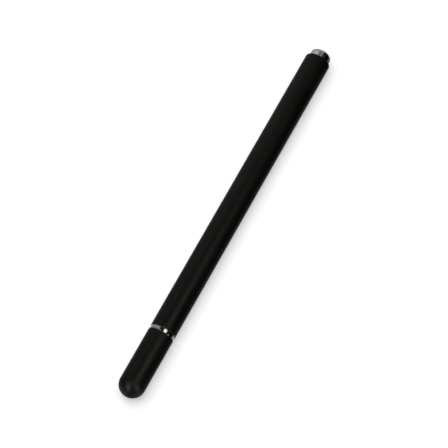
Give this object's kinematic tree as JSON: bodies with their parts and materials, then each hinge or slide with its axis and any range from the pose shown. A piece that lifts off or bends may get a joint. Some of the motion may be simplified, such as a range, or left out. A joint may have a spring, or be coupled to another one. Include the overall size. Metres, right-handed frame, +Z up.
{
  "type": "stylus pen",
  "caption": "Slim round touch-screen stylus with a magnetic pull-off cap, a bright trim ring, a clear swivelling disc nib under the cap and a bright tail stub that takes the cap.",
  "frame": {"origin": "on the table under the middle of the pen's length, with the pen lying capped", "axes": "+X along the pen towards the tail stub, +Z up from the table"},
  "size_m": [0.14, 0.009, 0.009],
  "materials": {
    "black_aluminium": "matte",
    "chrome": "polished",
    "brass": "satin",
    "nickel_magnet": "polished",
    "nib_steel": "polished",
    "rubber": "matte",
    "conductive_plastic": "satin",
    "clear_plastic": "gloss",
    "contact_foil": "satin",
    "inner_plastic": "matte"
  },
  "bodies": {
    "barrel": {"barrel_tube": "black_aluminium", "front_bush": "brass", "trim_ring": "chrome", "nose": "chrome", "nose_magnet": "nickel_magnet", "tail_plug": "chrome", "tail_magnet": "nickel_magnet", "tail_core": "inner_plastic"},
    "cap": {"cap_shell": "black_aluminium", "cap_mouth_bush": "inner_plastic", "cap_magnet": "nickel_magnet", "cap_liner": "inner_plastic"},
    "nib_seal": {"nib_seal_ring": "rubber"},
    "nib": {"nib_holder": "nib_steel"},
    "ball": {"ball_stem": "nib_steel"},
    "disc": {"disc_socket": "conductive_plastic", "nib_disc": "clear_plastic", "contact_film": "contact_foil"}
  },
  "joints": [
    {"name": "cap_pull", "type": "slide", "parent": "barrel", "child": "cap", "axis": [-1, 0, 0], "range_m": [0, 0.03]},
    {"name": "nib_advance", "type": "slide", "parent": "barrel", "child": "nib_seal", "axis": [-1, 0, 0], "range_m": [0, 0.004]},
    {"name": "nib_unscrew", "type": "hinge", "parent": "nib_seal", "child": "nib", "pos_m": [-0.054, 0, 0.0045], "axis": [-1, 0, 0], "range_deg": [0, 3601]},
    {"name": "disc_spin", "type": "hinge", "parent": "nib", "child": "ball", "pos_m": [-0.05955, 0, 0.0045], "axis": [1, 0, 0], "continuous": true},
    {"name": "disc_tilt", "type": "hinge", "parent": "ball", "child": "disc", "pos_m": [-0.05955, 0, 0.0045], "axis": [0, 1, 0], "range_deg": [-30, 30]}
  ],
  "couplings": [
    {"joint": "nib_unscrew", "follows": "nib_advance", "rad_per_m": 15708}
  ]
}
